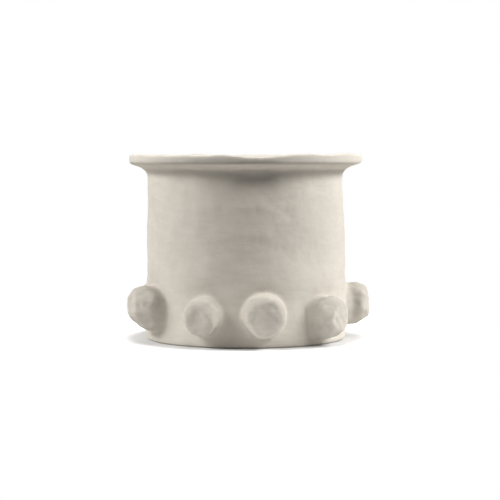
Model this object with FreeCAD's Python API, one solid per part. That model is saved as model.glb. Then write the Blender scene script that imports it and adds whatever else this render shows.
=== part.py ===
"""A hand-built cachepot: a round drum with a wide flared rim and a ring of thumb-pinched knobs round its foot.

The pieces are those the maker forms by hand and bonds together: a floor disc, the bead that seals it into the
drum, the drum itself, the rim laid on the drum's bevelled top edge, and nine knobs pressed onto the drum.
Frame: millimetres, +Z up, origin on the ground at the drum's axis. The front is -Y.
Bearings are degrees round the axis, from the front towards +X.
"""
import FreeCAD
import Part

import math
import os

from FreeCAD import Vector

# Drum and floor
HEIGHT = 280.0
WELL_RADIUS = 136.0
WALL_FOOT_THICKNESS = 16.5
WALL_TOP_THICKNESS = 13.0
FOOT_BEVEL = 3.0
FLOOR_THICKNESS = 16.0
BEAD_SIZE = 12.0
BEAD_KEY = 4.0
BEAD_HOLLOW = 0.36

# Rim
RIM_HEIGHT = 38.0
RIM_OVERHANG = 28.0
LIP_THICKNESS = 13.0
LIP_BEVEL = 2.0
MOUTH_BEVEL = 3.0
COVE_RADIUS = 18.0
UNDERSIDE_SLOPE = 18.0
SCARF_RISE = 6.0

# The lip's top, uneven from the maker's hands: a slight arch, and a dip pressed in at the front
LIP_ARCH = 2.6
LIP_CREST_BEARING = 62.0
LIP_DIP_DEPTH = 5.7
LIP_DIP_WIDTH = 198.0
LIP_DIP_BEARING = 7.0

# Knobs
KNOB_FOOT = 61.0
KNOB_REACH = 38.0
KNOB_CLEARANCE = 18.0
KNOB_FIRST_BEARING = 9.7
KNOB_PINCHES = 6
KNOB_CORNER_CUT = 0.2
KNOB_UNEVENNESS = 0.06
KNOB_DISH_DEPTH = 2.0
KNOB_DISH_FLOOR = 0.5
# A knob's outline from foot to crown: how far out along its reach, and how wide against its foot
KNOB_RINGS = [(0.0, 1.0), (0.3, 0.89), (0.64, 0.79), (0.86, 0.66), (1.0, 0.44)]
# Each knob, from the front one round towards +X. Stray is how far it is off an even spacing, as a share of the gap
# left free between two feet. Lift is how far it sits above the row, as a share of the row's clearance. Reach is
# against the usual reach. Turn sets where its pinched flats lie, in degrees. The leans are how far its crown is
# pushed to the side and up, as shares of its foot.
KNOBS = [
    {"stray": 0.02, "lift": 0.0, "reach": 0.96, "turn": 8.0, "lean_side": 0.03, "lean_up": 0.0},
    {"stray": -0.24, "lift": -0.44, "reach": 0.98, "turn": 31.0, "lean_side": 0.05, "lean_up": 0.02},
    {"stray": 0.32, "lift": 0.06, "reach": 0.98, "turn": 20.0, "lean_side": -0.03, "lean_up": 0.03},
    {"stray": 0.08, "lift": 0.0, "reach": 0.97, "turn": 47.0, "lean_side": 0.03, "lean_up": -0.03},
    {"stray": -0.13, "lift": -0.22, "reach": 1.02, "turn": 12.0, "lean_side": -0.05, "lean_up": 0.02},
    {"stray": -0.34, "lift": 0.11, "reach": 0.95, "turn": 38.0, "lean_side": 0.03, "lean_up": -0.05},
    {"stray": -0.58, "lift": -0.28, "reach": 0.93, "turn": 25.0, "lean_side": -0.03, "lean_up": 0.05},
    {"stray": 0.52, "lift": 0.11, "reach": 1.06, "turn": 53.0, "lean_side": -0.03, "lean_up": 0.05},
    {"stray": 0.47, "lift": -0.11, "reach": 0.98, "turn": 16.0, "lean_side": -0.02, "lean_up": -0.03},
]

# Sizes that follow
wall_foot_radius = WELL_RADIUS + WALL_FOOT_THICKNESS
wall_top_radius = WELL_RADIUS + WALL_TOP_THICKNESS
seat_low = HEIGHT - RIM_HEIGHT
seat_high = seat_low + SCARF_RISE
lip_radius = wall_top_radius + RIM_OVERHANG
lip_underside = HEIGHT - LIP_THICKNESS
lip_lowest = HEIGHT - max(LIP_DIP_DEPTH, LIP_ARCH)
lip_bevel = min(LIP_BEVEL, 0.4 * (lip_lowest - lip_underside))
mouth_bevel = min(MOUTH_BEVEL, 0.4 * WALL_TOP_THICKNESS)
foot_bevel = min(FOOT_BEVEL, 0.4 * WALL_FOOT_THICKNESS)
bead_key = min(BEAD_KEY, 0.5 * FLOOR_THICKNESS)
knob_row_height = KNOB_CLEARANCE + KNOB_FOOT / 2


def wall_radius(z):
    """The drum's outer radius at a height."""
    return wall_foot_radius + z / seat_low * (wall_top_radius - wall_foot_radius)


def revolve(corners):
    """The solid that a closed outline sweeps round the pot's axis. A corner is its radius, height and rounding."""
    points = [Vector(radius, 0, z) for radius, z, rounding in corners]
    ends = []
    edges = []
    for i, (radius, z, rounding) in enumerate(corners):
        corner = points[i]
        back = (points[i - 1] - corner).normalize()
        ahead = (points[(i + 1) % len(points)] - corner).normalize()
        if rounding == 0:
            ends.append((corner, corner))
            continue
        half_angle = back.getAngle(ahead) / 2
        trim = rounding / math.tan(half_angle)
        start = corner + back * trim
        end = corner + ahead * trim
        inward = (back + ahead).normalize()
        middle = corner + inward * (rounding / math.sin(half_angle) - rounding)
        edges.append(Part.Arc(start, middle, end).toShape())
        ends.append((start, end))
    for i in range(len(ends)):
        edges.append(Part.makeLine(ends[i - 1][1], ends[i][0]))
    face = Part.Face(Part.Wire(Part.__sortEdges__(edges)))
    return face.revolve(Vector(0, 0, 0), Vector(0, 0, 1), 360)


def make_floor_disc():
    """The flat floor, set inside the drum and flush with its foot, its upper edge bevelled to key the bead."""
    return revolve([
        (0, 0, 0),
        (WELL_RADIUS, 0, 0),
        (WELL_RADIUS, FLOOR_THICKNESS - bead_key, 0),
        (WELL_RADIUS - BEAD_SIZE, FLOOR_THICKNESS, 0),
        (0, FLOOR_THICKNESS, 0),
    ])


def make_seal_bead():
    """The hollow-faced bead of pulp smeared into the corner between floor and drum."""
    hollow = BEAD_HOLLOW * BEAD_SIZE
    return revolve([
        (WELL_RADIUS - BEAD_SIZE, FLOOR_THICKNESS, 0),
        (WELL_RADIUS, FLOOR_THICKNESS - bead_key, 0),
        (WELL_RADIUS, FLOOR_THICKNESS + BEAD_SIZE, 0),
        (WELL_RADIUS - hollow, FLOOR_THICKNESS + hollow, 0),
    ])


def make_wall_drum():
    """The drum: straight inside, thinning towards the top outside, its top edge bevelled for the rim."""
    return revolve([
        (WELL_RADIUS, 0, 0),
        (wall_foot_radius - foot_bevel, 0, 0),
        (wall_radius(foot_bevel), foot_bevel, 0),
        (wall_top_radius, seat_low, 0),
        (WELL_RADIUS, seat_high, 0),
    ])


def level_bar(radius, bearing, z, start):
    """A level round bar that runs out over the lip on one bearing, from start, counted from the pot's axis."""
    turn = math.radians(bearing)
    along = Vector(math.sin(turn), -math.cos(turn), 0)
    return Part.makeCylinder(radius, 2 * lip_radius - start, Vector(0, 0, z) + along * start, along)


def make_rim_flange():
    """The flared ring: a cove up to a sloping underside, a thick lip with eased edges, and an uneven top.

    The blank stands above the pot's height by the lip's thickness, for the arch and the dip to be cut from it.
    An eased edge starts just below the lowest spot of the top and is as wide as its bevel at the pot's height.
    """
    slope = math.tan(math.radians(UNDERSIDE_SLOPE))
    blank_top = HEIGHT + LIP_THICKNESS
    mouth_start = lip_lowest - mouth_bevel
    lip_start = lip_lowest - lip_bevel
    mouth_ease = mouth_bevel * (blank_top - mouth_start) / (HEIGHT - mouth_start)
    lip_ease = lip_bevel * (blank_top - lip_start) / (HEIGHT - lip_start)
    blank = revolve([
        (WELL_RADIUS + mouth_ease, blank_top, 0),
        (WELL_RADIUS, mouth_start, 0),
        (WELL_RADIUS, seat_high, 0),
        (wall_top_radius, seat_low, 0),
        (wall_top_radius, lip_underside - RIM_OVERHANG * slope, COVE_RADIUS),
        (lip_radius - lip_bevel, lip_underside - lip_bevel * slope, 0),
        (lip_radius, lip_underside + lip_bevel, 0),
        (lip_radius, lip_start, 0),
        (lip_radius - lip_ease, blank_top, 0),
    ])
    arch_radius = lip_radius ** 2 / (2 * LIP_ARCH)
    dip_radius = ((LIP_DIP_WIDTH / 2) ** 2 + LIP_DIP_DEPTH ** 2) / (2 * LIP_DIP_DEPTH)
    arch = level_bar(arch_radius, LIP_CREST_BEARING, HEIGHT - arch_radius, -2 * lip_radius)
    dip = level_bar(dip_radius, LIP_DIP_BEARING, HEIGHT - LIP_DIP_DEPTH + dip_radius, 0)
    return blank.common(arch).cut(dip)


def knob_bearing(index):
    """Where a knob stands round the pot: an even spacing, off by its stray."""
    pitch = 360 / len(KNOBS)
    foot_angle = math.degrees(2 * math.asin(KNOB_FOOT / 2 / wall_radius(knob_row_height)))
    return KNOB_FIRST_BEARING + pitch * index + KNOBS[index]["stray"] * (pitch - foot_angle)


def knob_outline(index):
    """A knob's outline at its foot, seen along its reach: uneven pinched flats with the corners between cut off."""
    corners = []
    for i in range(KNOB_PINCHES):
        turn = math.radians(KNOBS[index]["turn"] + 360 * i / KNOB_PINCHES)
        radius = KNOB_FOOT / 2 / math.cos(math.pi / KNOB_PINCHES)
        radius = radius * (1 + KNOB_UNEVENNESS * math.sin(2.4 * index + 2.1 * i))
        corners.append(Vector(radius * math.cos(turn), radius * math.sin(turn), 0))
    outline = []
    for i, corner in enumerate(corners):
        for neighbour in (corners[i - 1], corners[(i + 1) % KNOB_PINCHES]):
            outline.append(corner + (neighbour - corner) * KNOB_CORNER_CUT)
    return outline


def flat_face(points):
    return Part.Face(Part.makePolygon(points + points[:1]))


def make_knob(index):
    """A lump pinched flat all round, its crown pressed hollow by a thumb, its back moulded to the drum.

    It is built along +Z with its foot at the origin, then stood on the drum at its height and bearing.
    """
    knob = KNOBS[index]
    height = knob_row_height + knob["lift"] * KNOB_CLEARANCE
    radius = wall_radius(height)
    reach = KNOB_REACH * knob["reach"]
    crown_width = KNOB_RINGS[-1][1]
    root = radius - math.sqrt(radius ** 2 - (KNOB_FOOT / 2) ** 2) + KNOB_FOOT / 10
    places = [(-root / reach, 1.0)] + KNOB_RINGS
    places.append((1 - KNOB_DISH_DEPTH / reach, KNOB_DISH_FLOOR * crown_width))
    rings = []
    for out, width in places:
        lean = Vector(knob["lean_side"], knob["lean_up"], 0) * KNOB_FOOT
        centre = lean * out + Vector(0, 0, reach * out)
        rings.append([centre + point * width for point in knob_outline(index)])
    faces = [flat_face(rings[0]), flat_face(rings[-1])]
    for low, high in zip(rings, rings[1:]):
        for i in range(len(low)):
            faces.append(flat_face([low[i - 1], low[i], high[i], high[i - 1]]))
    lump = Part.makeSolid(Part.makeShell(faces))
    lump.rotate(Vector(0, 0, 0), Vector(1, 0, 0), 90)
    lump.translate(Vector(0, -radius, height))
    lump = lump.cut(Part.makeCone(wall_foot_radius, wall_top_radius, seat_low))
    lump.rotate(Vector(0, 0, 0), Vector(0, 0, 1), knob_bearing(index))
    return lump


pieces = {
    "floor_disc": make_floor_disc(),
    "seal_bead": make_seal_bead(),
    "wall_drum": make_wall_drum(),
    "rim_flange": make_rim_flange(),
}
for index in range(len(KNOBS)):
    pieces[f"knob_{index + 1}"] = make_knob(index)

os.makedirs("parts", exist_ok=True)
for name, shape in pieces.items():
    if not shape.isValid() or len(shape.Solids) != 1:
        raise ValueError(f"{name} is not one sound solid")
    shape.exportStep(f"parts/{name}.step")
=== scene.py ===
"""The cachepot's looks: one hand-pressed body of paper pulp, parted into the frame's own pieces.

The drum and its rim are pulled up ring by ring, the knobs are pinched from stubs, and all of it is worked
together as wet pulp is: pressed, smeared at the joins and smoothed. Only then is it parted along the seams
into the drum, the rim and nine knobs, so that no seam shows. The floor and its sealing bead are made apart.
Lengths are millimetres until they reach Blender. Bearings are degrees from the front towards +X.
"""
import math
import random

import bpy
import numpy as np
from mathutils import Matrix, Vector


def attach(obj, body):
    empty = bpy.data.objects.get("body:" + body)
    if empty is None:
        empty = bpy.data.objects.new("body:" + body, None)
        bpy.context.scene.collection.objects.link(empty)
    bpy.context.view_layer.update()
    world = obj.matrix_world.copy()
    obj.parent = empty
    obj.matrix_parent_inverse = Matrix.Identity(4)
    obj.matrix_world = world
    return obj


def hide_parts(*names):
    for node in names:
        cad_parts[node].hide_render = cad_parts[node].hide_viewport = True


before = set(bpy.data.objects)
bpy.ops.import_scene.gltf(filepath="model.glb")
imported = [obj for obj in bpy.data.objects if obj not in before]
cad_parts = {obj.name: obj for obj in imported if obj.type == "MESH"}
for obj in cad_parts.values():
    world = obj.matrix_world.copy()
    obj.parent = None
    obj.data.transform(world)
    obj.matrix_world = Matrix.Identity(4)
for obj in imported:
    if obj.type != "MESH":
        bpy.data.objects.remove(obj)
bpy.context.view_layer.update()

MM = 0.001

# Sizes of the body, the floor and the bead
WELL_RADIUS = 136.0
WELL_FOOT = 2.0
WELL_TOP = 262.0
SEAM_HEIGHT = 242.0
LIP_LOW = 272.0
LIP_TOP = 280.0
FLOOR_TOP = 16.0
FLOOR_LIFT = 0.6
BEAD_HEIGHT = 13.0

# How many sides a ring has, how long its runs are outside and in the well, and how fine the skin is worked
SIDES = 192
RUN = 5.0
WELL_RUN = 8.0
GRAIN = 2.1
STROKES = 44

# Seams round the knobs: how far out, how low, how many sides, and how deep they go, as a share of the radius
SEAM_REACH = 40.0
SEAM_LOW = 5.0
SEAM_SIDES = 20
PLUG = 0.955

# Skin round a seam: how far past it the cuts run and the patch reaches, how deep the patch is, and how near
# a corner a cut runs through it instead of beside it, as a share of the grain
CUT_PAST = 4.0
PATCH_PAST = 9.0
PATCH_DEPTH = 8.0
CUT_NEAR = 0.35

# Share of the well's corners that stay, since its wall is smooth
WELL_KEPT = 0.35

# A press as wide as this, or wider, leaves the clear edge of a thumb
THUMB = 17.0

# The drum's outside from the foot up, then the cove, the lip and the mouth: radius and height
FOOT = [(136.0, 0.0), (142.0, 0.0), (148.6, 0.0), (150.9, 0.7), (152.2, 2.4)]
DRUM = [(152.6, 6.0), (152.9, 30.0), (152.7, 88.0), (151.8, 110.0), (151.0, 140.0), (150.2, 180.0),
        (149.4, 212.0), (149.0, 242.0)]
COVE = [(149.1, 246.4), (149.4, 249.8), (150.3, 252.4), (152.0, 255.0), (154.4, 257.6), (157.6, 260.0),
        (161.6, 262.0), (166.4, 263.7), (171.2, 265.1)]
LIP = [(175.2, 266.6), (176.9, 268.2), (177.4, 270.2), (177.4, 273.0), (177.4, 278.0), (177.0, 279.7),
       (175.4, 280.6), (172.0, 280.6), (165.0, 280.2), (157.0, 279.8), (149.0, 279.6), (143.0, 279.2),
       (139.6, 278.1), (137.4, 276.0), (136.3, 273.0)]

# Pushes on the lip's top: bearing, push down, and how far round it reaches
LIP_PUSHES = [(6, 4.4, 66), (-20, 2.2, 36), (-38, 2.0, 50), (-52, 1.6, 40), (32, -1.2, 34), (58, -1.6, 44),
              (96, 1.4, 50), (131, 2.4, 60), (158, 0.8, 40), (190, 1.8, 60), (222, 0.6, 40), (251, 2.2, 50)]

# Leans left in the wall and rim by the hands: bearing, radius, height, push out, push up and reach
LEANS = [(90, 149, 246, -2.6, 0.0, 45), (92, 168, 263, 0.0, 2.8, 46), (-92, 171, 265, 0.0, -1.4, 40),
         (4, 177, 272, 2.6, 0.0, 70), (5, 149, 245, -3.4, 0.0, 42), (90, 152, 135, 1.7, 0.0, 80),
         (-90, 152, 100, -2.0, 0.0, 55), (-90, 150, 192, -0.7, 0.0, 30)]

# A knob's stub from its foot to its crown: how far out, and its radius there. Then its sides, how far out
# its flats are measured, how true they are cut, so that each run gives the same knob, how far its flank is
# from its middle, and how wide the smear round its foot is
KNOB_OUTLINE = [(-8.0, 32.6), (0.0, 32.6), (3.0, 31.8), (8.0, 31.4), (16.0, 31.2), (24.0, 30.4),
                (28.5, 28.6), (32.5, 25.6), (35.4, 21.6), (36.8, 17.0), (37.4, 10.0)]
STUB_SIDES = 32
FLAT_OUT = 30.0
FLAT_TRUE = 0.001
FLANK = 31.0
SMEAR = 12.0

# Each knob: bearing, height and reach, how wide it is, how its crown leans, its pinched flats
# (bearing round the knob, distance from its middle, lean of the flat), presses on its crown
# (side, up, push in, reach) and pinches in its flank (bearing round the knob, out, push in, reach)
KNOBS = [
    dict(bearing=10.0, height=47.5, reach=0.96, size=1.02, lean=(-1.0, 0.0),
         flats=[(8, 27, 44), (64, 27.5, 40), (118, 26.5, 46), (178, 27.5, 40), (238, 27, 44),
                (300, 27.5, 42), (36, 30, 5), (150, 30, 4), (212, 30.5, 3), (330, 30.5, 4), (268, 25.5, 42),
                (270, 28, 3)],
         presses=[(1, -1, 1.6, 21), (-1, -8, 3.2, 17), (12, 13, 1.8, 8), (20, -11, 1.6, 8),
                  (11, 1, -1.0, 7)],
         pinches=[]),
    dict(bearing=46.3, height=40.5, reach=0.98, size=1.0, lean=(3.0, 4.0),
         flats=[(0, 25, 40), (48, 25.5, 40), (92, 25, 36), (140, 22.5, 46), (182, 23.5, 40), (224, 20.5, 44),
                (270, 24.5, 36), (316, 25.5, 40), (188, 26, 3)],
         presses=[(5, -1, 2.0, 19), (-9, -5, 2.8, 9), (-13, 6, -1.8, 7), (8, -8, 1.8, 8)], pinches=[]),
    dict(bearing=95.1, height=49.5, reach=0.99, size=1.03, lean=(1.0, 5.0),
         flats=[(15, 27, 42), (90, 25.5, 28), (140, 25.5, 40), (182, 24, 46), (222, 25.5, 44), (270, 25, 30),
                (325, 27, 42)],
         presses=[(6, -3, 2.6, 15)], pinches=[(150, 12, 3.2, 12), (180, 12, 4.0, 12), (206, 12, 3.2, 12)]),
    dict(bearing=131.1, height=48.5, reach=0.97, size=1.0, lean=(2.0, -2.0),
         flats=[(28, 27, 42), (92, 26, 44), (150, 27.5, 40), (214, 26.5, 44), (275, 26, 40), (333, 27.5, 42),
                (60, 30, 5), (240, 30, 6)],
         presses=[(-3, 2, 2.2, 20), (-5, 4, 2.8, 13), (8, -8, 1.4, 9)], pinches=[(170, 14, 2.0, 12)]),
    dict(bearing=167.5, height=44.5, reach=1.02, size=1.02, lean=(-2.0, 3.0),
         flats=[(5, 27.5, 42), (70, 27, 40), (126, 26, 46), (188, 27.5, 40), (246, 26, 44), (305, 26, 42),
                (30, 30, 5), (160, 30, 6)],
         presses=[(2, 2, 2.2, 20), (3, 5, 2.8, 13), (-9, -6, 1.5, 10)], pinches=[(20, 15, 2.2, 12)]),
    dict(bearing=204.0, height=50.5, reach=0.95, size=1.0, lean=(2.0, -3.0),
         flats=[(20, 26, 46), (76, 27.5, 40), (138, 27, 42), (196, 26.5, 44), (258, 26, 44), (318, 27.5, 40),
                (110, 30, 5), (290, 30, 4)],
         presses=[(-1, -3, 2.0, 20), (-3, -6, 3.0, 13), (-9, 8, 1.6, 9)], pinches=[(340, 14, 2.4, 12)]),
    dict(bearing=239.9, height=44.5, reach=0.94, size=1.02, lean=(-2.0, 4.0),
         flats=[(12, 27.5, 42), (66, 26, 46), (121, 27.5, 40), (183, 27, 42), (244, 26, 44), (302, 27.5, 40),
                (90, 30, 5), (215, 30, 5)],
         presses=[(2, 1, 2.2, 20), (5, 4, 2.8, 13), (-7, -8, 1.4, 9)], pinches=[(190, 14, 2.0, 12)]),
    dict(bearing=298.5, height=50.0, reach=0.99, size=1.08, lean=(-1.0, 4.0),
         flats=[(0, 18.5, 46), (0, 27, 6), (44, 21, 40), (90, 27, 12), (90, 25, 42), (136, 31, 36),
                (182, 26, 44), (232, 25.5, 43), (270, 16.5, 46), (270, 28, 4), (318, 18, 42)],
         presses=[(-2, 15, 2.0, 16), (17, -10, -2.0, 9), (19, 6, 2.0, 9)], pinches=[(4, 12, 3.0, 12)]),
    dict(bearing=338.0, height=46.5, reach=0.98, size=0.9, lean=(0.5, 0.0),
         flats=[(2, 25, 36), (44, 23.5, 46), (90, 26, 38), (134, 26.5, 42), (180, 25, 42), (226, 25, 42),
                (278, 15, 58), (314, 25, 42), (355, 27.5, 3), (40, 28.5, 4)],
         presses=[(-2, 1, 1.8, 19), (3, -8, 3.0, 12), (-8, -2, 1.4, 8)], pinches=[]),
]


# Handling

def free_hands():
    """Leaves nothing selected."""
    if bpy.context.object and bpy.context.object.mode != "OBJECT":
        bpy.ops.object.mode_set(mode="OBJECT")
    bpy.ops.object.select_all(action="DESELECT")


def hold(piece):
    """Makes a piece the one in hand."""
    free_hands()
    piece.select_set(True)
    bpy.context.view_layer.objects.active = piece
    return piece


def settle(name):
    """Names the piece in hand and sets its place into its mesh."""
    piece = bpy.context.object
    piece.name = piece.data.name = name
    bpy.ops.object.transform_apply(location=True, rotation=True, scale=True)
    return piece


def open_up(piece, chosen="VERT"):
    """Opens a piece for shaping, with all of it chosen, as corners, edges or faces."""
    hold(piece)
    bpy.ops.object.mode_set(mode="EDIT")
    bpy.ops.mesh.select_mode(type=chosen)
    bpy.ops.mesh.select_all(action="SELECT")


def shut():
    bpy.ops.object.mode_set(mode="OBJECT")


def corners_of(piece):
    """Where a piece's corners are, in millimetres."""
    flat = np.empty(len(piece.data.vertices) * 3)
    piece.data.vertices.foreach_get("co", flat)
    return flat.reshape(-1, 3) / MM


def faces_of(piece):
    """Where the middles of a piece's faces are, in millimetres."""
    flat = np.empty(len(piece.data.polygons) * 3)
    piece.data.polygons.foreach_get("center", flat)
    return flat.reshape(-1, 3) / MM


def open_at(piece, picked, chosen="VERT"):
    """Opens a piece for shaping with only the picked corners or faces chosen."""
    open_up(piece, chosen)
    bpy.ops.mesh.select_all(action="DESELECT")
    shut()
    parts = piece.data.vertices if chosen == "VERT" else piece.data.polygons
    parts.foreach_set("select", np.asarray(picked, bool))
    bpy.ops.object.mode_set(mode="EDIT")


def finish_with(piece, kind, **settings):
    """Adds a modifier with its settings and applies it."""
    hold(piece)
    step = piece.modifiers.new(kind.lower(), kind)
    for key, value in settings.items():
        setattr(step, key, value)
    bpy.ops.object.modifier_apply(modifier=step.name)


def close_mesh(piece):
    """Merges what lies on itself and turns the faces outwards."""
    open_up(piece)
    bpy.ops.mesh.remove_doubles(threshold=0.002 * MM)
    bpy.ops.mesh.normals_make_consistent(inside=False)
    shut()


def spot(bearing, radius, height):
    """A place on the pot, in metres."""
    turn = math.radians(bearing)
    return Vector((radius * math.sin(turn), -radius * math.cos(turn), height)) * MM


# Shaping

def pull_ring(name, outline, sides):
    """Pulls a circle from corner to corner of an outline until it closes on itself."""
    free_hands()
    radius, height = outline[0]
    bpy.ops.mesh.primitive_circle_add(vertices=sides, radius=radius * MM, location=(0, 0, height * MM))
    ring = settle(name)
    open_up(ring)
    for next_radius, next_height in outline[1:] + outline[:1]:
        bpy.ops.mesh.extrude_region_move(
            TRANSFORM_OT_translate={"value": (0, 0, (next_height - height) * MM)})
        size = next_radius / radius
        bpy.ops.transform.resize(value=(size, size, 1), center_override=(0, 0, next_height * MM))
        radius, height = next_radius, next_height
    shut()
    close_mesh(ring)
    return ring


def press(piece, places, push, reach, edge="SMOOTH"):
    """Pushes the skin at some places, and less and less round them."""
    corners = corners_of(piece)
    picked = np.zeros(len(corners), bool)
    for place in places:
        picked[np.argmin(np.sum((corners - np.array(place) / MM) ** 2, axis=1))] = True
    open_at(piece, picked)
    bpy.ops.transform.translate(value=push, use_proportional_edit=True, proportional_edit_falloff=edge,
                                proportional_size=reach * MM)
    shut()


def runs(outline, step):
    """An outline with more corners, so that no run is longer than a step."""
    fine = []
    for (r0, z0), (r1, z1) in zip(outline, outline[1:]):
        count = max(1, math.ceil(math.hypot(r1 - r0, z1 - z0) / step))
        for i in range(count):
            share = i / count
            fine.append((r0 + (r1 - r0) * share, z0 + (z1 - z0) * share))
    return fine + [outline[-1]]


def make_body():
    """The drum and rim in one, with the lip's uneven top and the marks of the hands on the wall."""
    inside = [(WELL_RADIUS, WELL_TOP), (WELL_RADIUS, WELL_FOOT)]
    outline = runs(FOOT + DRUM + COVE, RUN) + runs(LIP, RUN) + runs(inside, WELL_RUN)
    body = pull_ring("body", outline, SIDES)
    open_at(body, corners_of(body)[:, 2] < LIP_LOW)
    bpy.ops.mesh.hide(unselected=False)
    shut()
    for bearing, push, reach in LIP_PUSHES:
        places = [spot(bearing, radius, LIP_TOP) for radius in (141, 148, 156, 164, 172)]
        press(body, places, (0, 0, -push * MM), reach)
    open_up(body)
    bpy.ops.mesh.reveal(select=False)
    shut()
    for bearing, radius, height, out, up, reach in LEANS:
        press(body, [spot(bearing, radius, height)], spot(bearing, out, up), reach)
    hand = random.Random(11)
    for i in range(STROKES):
        bearing = 360 * i / STROKES + hand.uniform(-6, 6)
        height = hand.uniform(70, 236)
        length = hand.uniform(8, 26)
        rise = hand.uniform(-0.4, 0.4)
        steps = [t / 4 - 0.5 for t in range(5)]
        places = [spot(bearing + length * t, 150, height + length * 2.6 * rise * t) for t in steps]
        push = hand.choice((-1, -1, 1)) * hand.uniform(0.3, 0.9)
        press(body, places, spot(bearing, push, 0), hand.uniform(11, 24))
    return body


def make_stub(knob):
    """A knob before it goes on: a stub pinched flat all round, its crown and flanks pressed by a thumb."""
    free_hands()
    size = knob["size"]
    out, radius = KNOB_OUTLINE[0]
    bpy.ops.mesh.primitive_circle_add(vertices=STUB_SIDES, radius=radius * size * MM,
                                      location=(0, 0, out * MM), fill_type="NGON")
    stub = settle("stub")
    open_up(stub)
    reach = knob["reach"]
    for next_out, next_radius in KNOB_OUTLINE[1:]:
        bpy.ops.mesh.extrude_region_move(
            TRANSFORM_OT_translate={"value": (0, 0, (next_out - out) * reach * MM)})
        ratio = next_radius / radius
        bpy.ops.transform.resize(value=(ratio, ratio, 1))
        radius, out = next_radius, next_out
    for bearing, distance, lean in knob["flats"]:
        turn, tilt = math.radians(bearing), math.radians(lean)
        aside = Vector((math.cos(turn), math.sin(turn), 0))
        facing = aside * math.cos(tilt) + Vector((0, 0, math.sin(tilt)))
        bpy.ops.mesh.select_all(action="SELECT")
        bpy.ops.mesh.bisect(plane_co=aside * distance * size * MM + Vector((0, 0, FLAT_OUT * MM)),
                            plane_no=facing, use_fill=True, clear_outer=True, threshold=FLAT_TRUE * MM)
    shut()
    close_mesh(stub)
    finish_with(stub, "REMESH", mode="VOXEL", voxel_size=GRAIN * MM)
    finish_with(stub, "SMOOTH", factor=0.5, iterations=5)
    crown = KNOB_OUTLINE[-1][0] * reach
    for side, up, push, wide in knob["presses"]:
        edge = "SPHERE" if wide >= THUMB else "SMOOTH"
        press(stub, [Vector((side, up, crown)) * MM], (0, 0, -push * MM), wide, edge)
    for bearing, rise, push, wide in knob["pinches"]:
        aside = Vector((math.cos(math.radians(bearing)), math.sin(math.radians(bearing)), 0)) * MM
        press(stub, [aside * FLANK * size + Vector((0, 0, rise * MM))], aside * -push, wide)
    lean = Matrix.Identity(4)
    lean[0][2], lean[1][2] = (share / crown for share in knob["lean"])
    stub.data.transform(lean)
    return stub


def drum_radius(height):
    """The drum's outer radius at a height."""
    corners = FOOT[-1:] + DRUM
    for (r0, z0), (r1, z1) in zip(corners, corners[1:]):
        if height <= z1:
            return r0 + (r1 - r0) * (height - z0) / (z1 - z0)
    return corners[-1][0]


def knob_place(knob):
    """Where a stub stands on the drum."""
    radius = drum_radius(knob["height"])
    return (Matrix.Rotation(math.radians(knob["bearing"]), 4, "Z")
            @ Matrix.Translation(Vector((0, -radius, knob["height"])) * MM)
            @ Matrix.Rotation(math.radians(90), 4, "X"))


def seen_from(knob, places):
    """Places in a knob's own frame, aside, up and out from where it stands, all in millimetres."""
    turned = np.array(knob_place(knob).inverted())
    return places @ turned[:3, :3].T + turned[:3, 3] / MM


def weigh(piece, name, weights):
    """Gives a piece's corners their weights in a group, in steps of a fiftieth."""
    group = piece.vertex_groups.new(name=name)
    steps = np.round(np.clip(weights, 0, 1) * 50).astype(int)
    for step in np.unique(steps):
        group.add(np.flatnonzero(steps == step).tolist(), step / 50, "REPLACE")


def dabbing(name, size, depth):
    """A cloud of dabs: how large they are, in metres, and how often they break up into smaller ones."""
    cloud = bpy.data.textures.new(name, "CLOUDS")
    cloud.noise_scale, cloud.noise_depth = size, depth
    return cloud


def dab(piece, cloud, rise, **settings):
    """Presses a skin in and out by a cloud of dabs, by so many millimetres in all."""
    finish_with(piece, "DISPLACE", texture=cloud, strength=rise * MM, mid_level=0.5, texture_coords="LOCAL",
                **settings)


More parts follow.
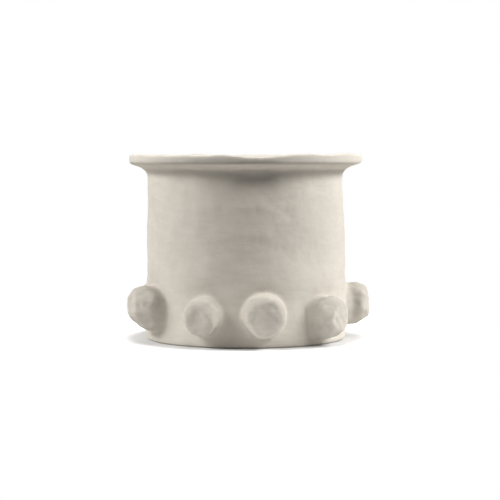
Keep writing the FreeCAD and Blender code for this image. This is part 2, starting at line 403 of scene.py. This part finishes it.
def work_together(body, stubs):
    """Joins the stubs to the body, smears the joins and gives the skin its hand-worked swell."""
    hold(body)
    for stub in stubs:
        stub.select_set(True)
    bpy.ops.object.join()
    finish_with(body, "REMESH", mode="VOXEL", voxel_size=GRAIN * MM)
    corners = corners_of(body)
    height = corners[:, 2]
    # The foot stays flat, and the well stays smooth where the floor and its bead sit
    worked = np.clip((height - 1.5) / 12, 0, 1)
    well = np.hypot(corners[:, 0], corners[:, 1]) < WELL_RADIUS + 4
    worked[well] = np.clip((height[well] - 28) / 30, 0, 1)
    feet = np.zeros(len(corners))
    pinched = np.zeros(len(corners))
    for knob in KNOBS:
        near = seen_from(knob, corners)
        off = np.hypot(near[:, 0], near[:, 1])
        foot = (1 - np.abs(off - FLANK) / SMEAR) * (near[:, 2] > -PATCH_DEPTH) * (near[:, 2] < 16)
        feet = np.maximum(feet, foot)
        pinched = np.maximum(pinched, np.clip((near[:, 2] - 4) / 10, 0, 1) * (off < SEAM_REACH + 6))
    lip = np.hypot(corners[:, 0], corners[:, 1]) - 166
    weigh(body, "worked", worked)
    weigh(body, "pinched", pinched)
    weigh(body, "feet", feet * np.clip((height - 2) / 6, 0, 1))
    weigh(body, "soft", 1 - 0.55 * np.clip(lip / 6, 0, 1) * (height > 255) - 0.4 * pinched)
    finish_with(body, "SMOOTH", factor=0.5, iterations=6, vertex_group="feet")
    finish_with(body, "SMOOTH", factor=0.5, iterations=4, vertex_group="soft")
    swell = dabbing("swell", 0.06, 1)
    dabs = dabbing("dabs", 0.018, 2)
    lumps = dabbing("lumps", 0.011, 2)
    dab(body, swell, 2.6, vertex_group="worked")
    dab(body, dabs, 1.0, vertex_group="worked")
    dab(body, dabs, 4.4, vertex_group="pinched")
    dab(body, lumps, 1.5, vertex_group="pinched")
    finish_with(body, "SMOOTH", factor=0.5, iterations=2, vertex_group="pinched")
    body.vertex_groups.clear()


# Parting the body into the frame's pieces

def part_off(piece, name, picked):
    """Takes the picked faces off as a piece of their own."""
    open_at(piece, picked, "FACE")
    bpy.ops.mesh.separate(type="SELECTED")
    shut()
    new = next(o for o in bpy.context.selected_objects if o != piece)
    new.name = new.data.name = name
    return new


def choose_open_edges():
    bpy.ops.mesh.select_mode(type="EDGE")
    bpy.ops.mesh.select_all(action="DESELECT")
    bpy.ops.mesh.select_non_manifold(extend=False, use_wire=False, use_boundary=True, use_multi_face=False,
                                     use_non_contiguous=False, use_verts=False)


def plug(piece):
    """Closes a piece's open edges with backs that lie some way into the wall, fanned from their middles."""
    open_up(piece)
    choose_open_edges()
    bpy.ops.mesh.extrude_region_move(TRANSFORM_OT_translate={"value": (0, 0, 0)})
    bpy.ops.transform.resize(value=(PLUG, PLUG, 1), center_override=(0, 0, 0))
    bpy.ops.mesh.select_all(action="SELECT")
    bpy.ops.mesh.fill_holes(sides=0)
    bpy.ops.mesh.select_mode(type="FACE")
    bpy.ops.mesh.select_all(action="DESELECT")
    bpy.ops.mesh.select_face_by_sides(number=SEAM_SIDES, type="GREATER")
    bpy.ops.mesh.poke()
    shut()


def part_knobs(body):
    """Parts the knobs from the drum along round seams in the wall, and closes all of them.

    Each seam is cut in a patch of skin taken off for it. The patch's border is hidden from the cuts, so that
    the collar that is left of the patch fits the drum again.
    """
    knobs, collars = [], []
    for number, knob in enumerate(KNOBS, 1):
        place = knob_place(knob)
        near = seen_from(knob, faces_of(body))
        wide = np.hypot(near[:, 0], near[:, 1]) < SEAM_REACH + PATCH_PAST
        patch = part_off(body, "patch", wide & (near[:, 2] > -PATCH_DEPTH))
        near = seen_from(knob, faces_of(patch))
        open_at(patch, np.hypot(near[:, 0], near[:, 1]) > SEAM_REACH + CUT_PAST, "FACE")
        bpy.ops.mesh.hide(unselected=False)
        sides = []
        for i in range(SEAM_SIDES):
            turn = 2 * math.pi * i / SEAM_SIDES
            aside = Vector((math.cos(turn), math.sin(turn), 0))
            off = SEAM_REACH
            if aside.y < 0:
                off = min(off, (SEAM_LOW - knob["height"]) / aside.y)
            sides.append((aside, off))
            bpy.ops.mesh.select_all(action="SELECT")
            bpy.ops.mesh.bisect(plane_co=place @ (aside * off * MM), plane_no=place.to_3x3() @ aside,
                                threshold=CUT_NEAR * GRAIN * MM)
        bpy.ops.mesh.reveal(select=False)
        shut()
        near = seen_from(knob, faces_of(patch))
        inside = np.all([near @ np.array(aside) < off for aside, off in sides], axis=0)
        knobs.append(part_off(patch, f"knob_{number}_pulp", inside))
        collars.append(patch)
    hold(body)
    for collar in collars:
        collar.select_set(True)
    bpy.ops.object.join()
    close_mesh(body)
    for piece in [body] + knobs:
        plug(piece)
    return knobs


def part_rim(body):
    """Parts the rim from the drum at the seam's height, and closes both."""
    open_up(body)
    bpy.ops.mesh.bisect(plane_co=(0, 0, SEAM_HEIGHT * MM), plane_no=(0, 0, 1),
                        threshold=CUT_NEAR * GRAIN * MM)
    shut()
    rim = part_off(body, "rim_flange_pulp", faces_of(body)[:, 2] > SEAM_HEIGHT)
    for piece in (body, rim):
        open_up(piece)
        choose_open_edges()
        bpy.ops.mesh.bridge_edge_loops()
        shut()
    return rim


def thin_well(body):
    """Gives the smooth well of the drum fewer faces."""
    corners = corners_of(body)
    well = np.hypot(corners[:, 0], corners[:, 1]) < WELL_RADIUS + 3
    open_at(body, well & (corners[:, 2] > 4) & (corners[:, 2] < SEAM_HEIGHT - 4))
    bpy.ops.mesh.decimate(ratio=WELL_KEPT)
    shut()


# The floor and its bead

def make_floor():
    """The floor disc, patted flat, a little above the foot so that the pot stands on its wall."""
    free_hands()
    depth = FLOOR_TOP - FLOOR_LIFT
    bpy.ops.mesh.primitive_cylinder_add(vertices=SIDES, radius=WELL_RADIUS * MM, depth=depth * MM,
                                        location=(0, 0, (FLOOR_TOP - depth / 2) * MM))
    disc = settle("floor_disc_pulp")
    open_at(disc, np.abs(faces_of(disc)[:, 2] - FLOOR_TOP + depth / 2) > 1, "FACE")
    bpy.ops.mesh.bevel(offset=1.2 * MM, segments=2)
    shut()
    finish_with(disc, "REMESH", mode="VOXEL", voxel_size=3.0 * MM)
    finish_with(disc, "SMOOTH", factor=0.5, iterations=3)
    dab(disc, dabbing("pats", 0.05, 1), 1.2, direction="Z")
    return disc


def make_bead():
    """The bead of pulp smeared into the corner between floor and wall by a fingertip."""
    low, high = FLOOR_TOP, FLOOR_TOP + BEAD_HEIGHT
    hollow = [(122.5, low - 1.2), (124.5, low + 0.5), (127.5, low + 1.6), (130.5, low + 3.4),
              (133, low + 6.0), (134.8, low + 9.0), (135.8, low + 11.6), (137.2, high)]
    back = [(138.4, high - 3.0), (138.4, low - 3.0), (130.0, low - 3.0)]
    bead = pull_ring("seal_bead_pulp", hollow + back, SIDES)
    finish_with(bead, "SUBSURF", levels=1, render_levels=1)
    dab(bead, dabbing("bead_dabs", 0.022, 1), 1.4)
    return bead


# Materials

class Dial:
    """A socket of a material. Sums with it add Math nodes."""

    def __init__(self, finish, socket):
        self.finish, self.socket = finish, socket

    def sum(self, operation, first, second):
        return self.finish.node("Math", dict(operation=operation), {0: first, 1: second})

    def __add__(self, other):
        return self.sum("ADD", self, other)

    def __radd__(self, other):
        return self.sum("ADD", other, self)

    def __sub__(self, other):
        return self.sum("SUBTRACT", self, other)

    def __rsub__(self, other):
        return self.sum("SUBTRACT", other, self)

    def __mul__(self, other):
        return self.sum("MULTIPLY", self, other)

    def __rmul__(self, other):
        return self.sum("MULTIPLY", other, self)


class Finish:
    """The nodes that a material or the world is made of."""

    def __init__(self, owner):
        owner.use_nodes = True
        self.tree = owner.node_tree
        self.tree.nodes.clear()

    def node(self, kind, settings=None, sockets=None, out=0):
        """Makes a node: its settings first, then the values or links of its sockets."""
        made = self.tree.nodes.new("ShaderNode" + kind)
        for key, value in (settings or {}).items():
            setattr(made, key, value)
        for key, value in (sockets or {}).items():
            if isinstance(value, Dial):
                self.tree.links.new(value.socket, made.inputs[key])
            else:
                made.inputs[key].default_value = value
        return Dial(self, made.outputs[out]) if made.outputs else None

    def noise(self, at, scale, detail=2.0, rough=0.5, warp=0.0):
        return self.node("TexNoise", None, {
            "Vector": at, "Scale": scale, "Detail": detail, "Roughness": rough, "Distortion": warp})

    def blend(self, share, first, second):
        return self.node("Mix", dict(data_type="RGBA"), {"Factor": share, 6: first, 7: second}, out=2)

    def span(self, value, low, high, to_low=0.0, to_high=1.0):
        return self.node("MapRange", dict(interpolation_type="SMOOTHSTEP"), {
            "Value": value, "From Min": low, "From Max": high, "To Min": to_low, "To Max": to_high})

    def looked_at(self):
        """One for what the camera sees straight, in a gloss or through glass, and nought for other light."""
        return (self.node("LightPath", out="Is Camera Ray") + self.node("LightPath", out="Is Glossy Ray")
                + self.node("LightPath", out="Is Transmission Ray"))


# How much darker the pulp is low down, most on the knobs, and how much paler the rim's underside is painted,
# as painted light from the floor
LOW_DARKENING = 0.05
PAINTED_UNDER_RIM_LIGHT = 0.36


def pulp(name, shade, tint, roughness):
    """Dried paper pulp: chalky and matt, dried unevenly, with strokes of the hand, fibres and pinholes.

    It is a little darker low down, most on the knobs, and painted paler under the rim as painted light from
    the floor.
    """
    material = bpy.data.materials.new(name)
    finish = Finish(material)
    at = finish.node("TexCoord", out="Object")
    mottle = finish.noise(at, 9, 3, 0.5)
    patches = finish.span(finish.noise(at, 17, 1), 0.48, 0.66)
    slant = finish.node("Mapping", None, {"Vector": at, "Rotation": (0.5, 0.35, 0), "Scale": (1, 1, 5)})
    level = finish.node("Mapping", None, {"Vector": at, "Rotation": (-0.2, 0.1, 0), "Scale": (1, 1, 4)})
    strokes = finish.noise(slant, 30, 3, 0.55, 0.8) * patches
    strokes = strokes + finish.noise(level, 34, 2, 0.5, 0.5) * (1 - patches)
    grain = finish.noise(at, 420, 3, 0.6)
    flock = finish.noise(at, 1500, 2, 0.6)
    holes = finish.node("TexVoronoi", None, {"Vector": at, "Scale": 150.0})
    pinhole = finish.span(holes, 0.05, 0.16, 1.0, 0.0)
    dark, pale, fibre, pit = ([c * shade * level for c in tint] + [1] for level in (0.94, 1.05, 1.12, 0.62))
    colour = finish.blend(finish.span(mottle * 0.6 + strokes * 0.4, 0.34, 0.66), dark, pale)
    colour = finish.blend(finish.span(grain, 0.42, 0.72) * 0.25, colour, fibre)
    colour = finish.blend(pinhole * 0.3, colour, pit)
    flat = finish.node("VectorMath", dict(operation="MULTIPLY"), {0: at, 1: (1, 1, 0)})
    away = finish.node("VectorMath", dict(operation="LENGTH"), {0: flat}, out="Value")
    rise = finish.node("SeparateXYZ", None, {0: at}, out="Z")
    # Darker low down, below 80 to 130 mm, and more where the knobs stand out from the drum
    low_darkening = finish.span(rise, 0.08, 0.13, 1.0, 0.0) * (1 + 2.4 * finish.span(away, 0.152, 0.166))
    # Painted light: the rim's underside, from 151 to 158 mm out and up to the lip, is painted paler. This
    # stands in for light the floor throws up under it
    under_lip = finish.span(rise, 0.2, 0.25) * finish.span(rise, 0.264, 0.268, 1.0, 0.0)
    painted_under_rim_light = finish.span(away, 0.151, 0.158) * under_lip
    colour = finish.node("VectorMath", dict(operation="SCALE"), {
        0: colour, "Scale": 1 - low_darkening * LOW_DARKENING + painted_under_rim_light * PAINTED_UNDER_RIM_LIGHT})
    height = strokes * 0.34 + grain * 0.15 + flock * 0.05 - pinhole * 0.14
    bump = finish.node("Bump", None, {"Strength": 0.55, "Distance": 0.0012, "Height": height})
    surface = finish.node("BsdfPrincipled", None, {
        "Base Color": colour, "Roughness": roughness + grain * 0.1, "Normal": bump,
        "Specular IOR Level": 0.25})
    finish.node("OutputMaterial", None, {"Surface": surface})
    return material


def white_floor():
    """A white sweep that looks white to the camera, keeps the pot's shadow and lights it only from near.
    Next to the pot's foot it is a little darker, as a painted shadow.
    """
    material = bpy.data.materials.new("white_sweep")
    finish = Finish(material)
    at = finish.node("TexCoord", out="Object")
    away = finish.node("VectorMath", dict(operation="LENGTH"), {0: at}, out="Value")
    # Painted shadow: from 0.15 m to 0.23 m out the floor's white is painted down to 0.76 of itself round the
    # foot, which also throws less light back onto the foot
    near = finish.span(away, 0.24, 0.45, 1.0, 0.0) * finish.span(away, 0.15, 0.23, 0.76, 1.0)
    white = finish.blend(near, (0, 0, 0, 1), (0.93, 0.93, 0.93, 1))
    cloth = finish.node("BsdfDiffuse", None, {"Color": white})
    level = finish.looked_at() * finish.span(away, 0.165, 0.22)
    glow = finish.node("Emission", None, {"Color": (1, 1, 1, 1), "Strength": level})
    both = finish.node("AddShader", None, {0: cloth, 1: glow})
    finish.node("OutputMaterial", None, {"Surface": both})
    return material


# Building

body = make_body()
stubs = []
for knob in KNOBS:
    stub = make_stub(knob)
    stub.data.transform(knob_place(knob))
    stubs.append(stub)
work_together(body, stubs)
pieces = {"rim_flange": part_rim(body)}
for number, piece in enumerate(part_knobs(body), 1):
    pieces[f"knob_{number}"] = piece
thin_well(body)
body.name = body.data.name = "wall_drum_pulp"
pieces["wall_drum"] = body
pieces["floor_disc"] = make_floor()
pieces["seal_bead"] = make_bead()

TINT = (1.0, 0.927, 0.817)
plain = pulp("paper_pulp", 0.62, TINT, 0.86)
sealed = pulp("sealed_pulp", 0.57, TINT, 0.62)
for node, piece in pieces.items():
    close_mesh(piece)
    hold(piece)
    bpy.ops.object.shade_smooth_by_angle(angle=math.radians(60))
    inner = node in ("floor_disc", "seal_bead")
    piece.data.materials.clear()
    piece.data.materials.append(sealed if inner else plain)
    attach(piece, "root")
    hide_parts(node)

# Stage, light and camera: the camera's place is in millimetres, its focal length and horizon in pixels

free_hands()
bpy.ops.mesh.primitive_plane_add(size=12, location=(0, 0, -0.0002))
sweep = settle("sweep")
sweep.data.materials.append(white_floor())

AIM_HEIGHT = 200.0
LAMP_BACK = 1700.0
BOX_WIDE, BOX_TALL = 1.4, 0.45


def soft_box(name, bearing, rise, distance, wide, tall, power):
    """A soft lamp on a bearing round the pot, raised by so many degrees, that faces the pot's middle."""
    tilt = math.radians(rise)
    place = spot(bearing, distance * math.cos(tilt), AIM_HEIGHT + distance * math.sin(tilt))
    bpy.ops.object.light_add(type="AREA", location=place)
    lamp = bpy.context.object
    lamp.name = name
    lamp.data.shape, lamp.data.energy = "RECTANGLE", power
    lamp.data.size, lamp.data.size_y = wide, tall
    aim = Vector((0, 0, AIM_HEIGHT * MM)) - place
    lamp.rotation_euler = aim.to_track_quat("-Z", "Y").to_euler()


soft_box("left_box", -73, 31, LAMP_BACK, BOX_WIDE, BOX_TALL, 27)
soft_box("right_box", 77, 34, LAMP_BACK, BOX_WIDE, BOX_TALL, 33.5)
soft_box("left_low_box", -86, 6, LAMP_BACK, BOX_WIDE, BOX_TALL, 5.5)
soft_box("right_low_box", 94, 7, LAMP_BACK, BOX_WIDE, BOX_TALL, 8.5)
soft_box("top_box", 0, 86, 1500, 0.7, 0.7, 9)

ROOM_LIGHT = 0.01
world = bpy.data.worlds.new("white_room")
bpy.context.scene.world = world
room = Finish(world)
backdrop = room.node("Background", None, {
    "Color": (1, 1, 1, 1), "Strength": room.span(room.looked_at(), 0.0, 1.0, ROOM_LIGHT, 1.0)})
room.node("OutputWorld", None, {"Surface": backdrop})

CAMERA_BACK = 2540.0
CAMERA_HEIGHT = 281.5
CAMERA_ASIDE = 6.9
FOCAL = 1663.0
HORIZON = 153.5
FRAME_SIDE = 500.0
SENSOR = 36.0
bpy.ops.object.camera_add(location=(CAMERA_ASIDE * MM, -CAMERA_BACK * MM, CAMERA_HEIGHT * MM))
camera = bpy.context.object
camera.name = "photo_camera"
dip = math.atan((FRAME_SIDE / 2 - HORIZON) / FOCAL)
camera.rotation_euler = (math.radians(90) - dip, 0, 0)
camera.data.sensor_width = SENSOR
camera.data.lens = FOCAL / FRAME_SIDE * SENSOR
bpy.context.scene.camera = camera
bpy.context.scene.view_settings.view_transform = "Standard"
